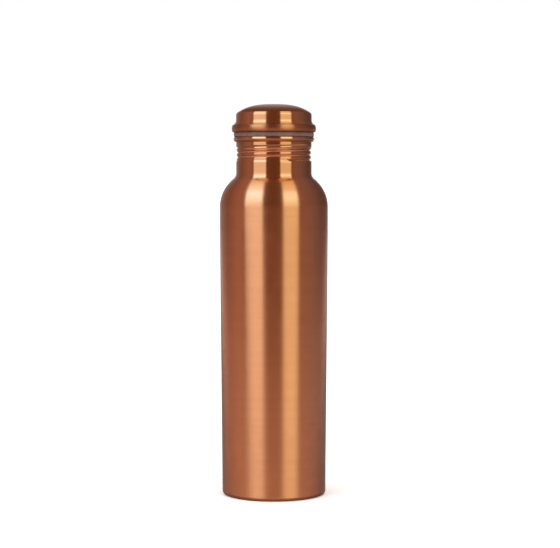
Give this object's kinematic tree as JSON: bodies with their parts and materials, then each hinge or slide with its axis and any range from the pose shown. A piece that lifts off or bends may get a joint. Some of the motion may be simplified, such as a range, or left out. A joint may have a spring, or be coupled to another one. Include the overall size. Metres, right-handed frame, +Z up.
{
  "type": "copper water bottle",
  "caption": "Tall round copper water bottle with a tapering wall, rounded shoulder, rolled screw neck, and a domed screw cap over a grey silicone gasket.",
  "frame": {"origin": "centre of the foot ring, on the surface the bottle stands on", "axes": "+Z up along the bottle's axis, -Y towards the viewer"},
  "size_m": [0.0722, 0.0722, 0.2607],
  "materials": {
    "bottle_copper": "satin, turned",
    "base_copper": "satin, turned",
    "cap_copper": "polished",
    "plug_copper": "plain pressed",
    "grey_silicone": "matte"
  },
  "bodies": {
    "bottle": {"body_shell": "bottle_copper", "base_plate": "base_copper"},
    "gasket": {"cap_gasket": "grey_silicone"},
    "cap": {"cap_shell": "cap_copper", "cap_plug": "plug_copper"}
  },
  "joints": [
    {"name": "cap_lift", "type": "slide", "parent": "bottle", "child": "gasket", "axis": [0, 0, 1], "range_m": [0, 0.0189]},
    {"name": "cap_turn", "type": "hinge", "parent": "gasket", "child": "cap", "pos_m": [0, 0, 0.2418], "axis": [0, 0, 1], "range_deg": [0, 2160]}
  ],
  "couplings": [
    {"joint": "cap_turn", "follows": "cap_lift", "rad_per_m": 1994.7}
  ]
}
